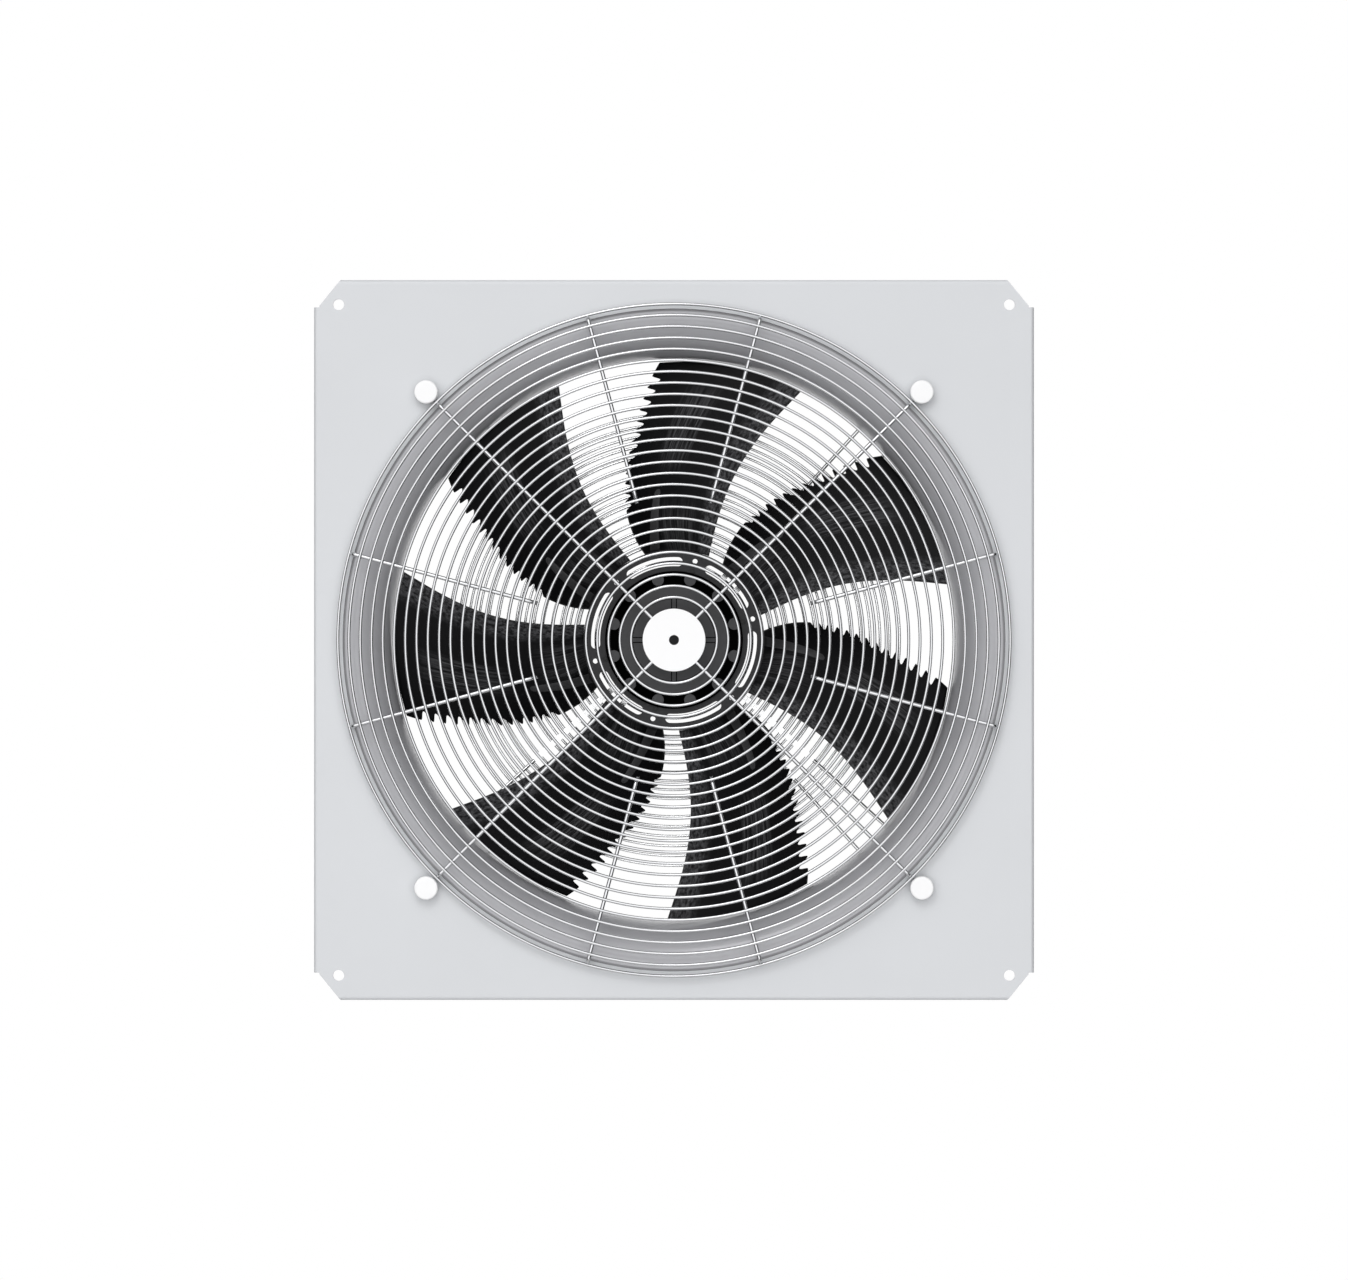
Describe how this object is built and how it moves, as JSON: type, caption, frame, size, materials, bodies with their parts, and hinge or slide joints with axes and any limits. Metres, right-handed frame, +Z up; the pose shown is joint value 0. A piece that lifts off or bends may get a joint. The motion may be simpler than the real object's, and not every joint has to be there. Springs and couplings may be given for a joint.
{
  "type": "axial extractor fan",
  "caption": "Square wall-plate axial extractor fan: inlet nozzle, wire guards front and rear, serrated sickle-bladed impeller on an external-rotor motor.",
  "frame": {"origin": "fan axis at the back face of the wall plate's sheet, centre of the four wall holes", "axes": "+Y along the fan axis towards the wall and the motor, guard side faces -Y, +Z up"},
  "size_m": [0.725, 0.1785, 0.725],
  "materials": {
    "plate_paint": "smooth pale grey powder coat",
    "nozzle_zinc": "galvanised sheet, satin",
    "guard_wire": "bright zinc wire",
    "white_plastic": "white, semi-gloss",
    "white_paint": "white, semi-gloss",
    "fastener_zinc": "bright zinc",
    "impeller_plastic": "black, fine moulded grain",
    "rotor_paint": "black, satin",
    "magnet": "matt",
    "shaft_steel": "ground",
    "bearing_steel": "ground and polished",
    "cage_brass": "satin",
    "motor_alu": "die-cast, satin",
    "core_steel": "stacked sheets",
    "copper": "enamelled copper wire",
    "basket_wire": "galvanised",
    "gasket_rubber": "matt",
    "board_green": "solder resist",
    "terminal_green": "moulded",
    "capacitor_sleeve": "shrunk sleeve",
    "gland_plastic": "moulded"
  },
  "bodies": {
    "frame": {"wall_plate": "plate_paint", "inlet_nozzle": "nozzle_zinc", "guard_inner_rings": "guard_wire", "guard_middle_rings": "guard_wire", "guard_outer_rings": "guard_wire", "guard_long_spokes": "guard_wire", "guard_short_spokes": "guard_wire", "guard_centre_disc": "white_paint", "bolt_caps": "white_plastic", "support_bolts": "fastener_zinc", "front_washers": "fastener_zinc", "rear_washers": "fastener_zinc", "support_nuts": "fastener_zinc", "bearing_outer_rings": "bearing_steel", "preload_washer": "fastener_zinc", "bearing_cover": "motor_alu", "stator_flange": "motor_alu", "stator_core": "core_steel", "stator_windings": "copper", "motor_bracket": "basket_wire", "bracket_screws": "fastener_zinc", "basket_rods": "basket_wire", "basket_inner_rings": "basket_wire", "basket_outer_rings": "basket_wire", "basket_feet": "basket_wire", "electronics_case": "motor_alu", "case_cover": "motor_alu", "cover_gasket": "gasket_rubber", "cover_screws": "fastener_zinc", "circuit_board": "board_green", "terminal_block": "terminal_green", "capacitors": "capacitor_sleeve", "gland_body": "gland_plastic", "gland_seal": "gasket_rubber", "gland_nut": "gland_plastic"},
    "rotor": {"impeller_hub": "impeller_plastic", "impeller_screws": "fastener_zinc", "blade_1": "impeller_plastic", "blade_2": "impeller_plastic", "blade_3": "impeller_plastic", "blade_4": "impeller_plastic", "blade_5": "impeller_plastic", "blade_6": "impeller_plastic", "blade_7": "impeller_plastic", "rotor_bell": "rotor_paint", "rotor_magnets": "magnet", "rotor_shaft": "shaft_steel", "shaft_circlip": "fastener_zinc", "bearing_inner_rings": "bearing_steel"},
    "ball_sets": {"bearing_balls": "bearing_steel", "bearing_cages": "cage_brass"}
  },
  "joints": [
    {"name": "rotor_spin", "type": "hinge", "parent": "frame", "child": "rotor", "pos_m": [0, 0, 0], "axis": [0, 1, 0], "continuous": true},
    {"name": "ball_set_spin", "type": "hinge", "parent": "frame", "child": "ball_sets", "pos_m": [0, 0, 0], "axis": [0, 1, 0], "continuous": true}
  ],
  "couplings": [
    {"joint": "ball_set_spin", "follows": "rotor_spin", "ratio": 0.384}
  ]
}
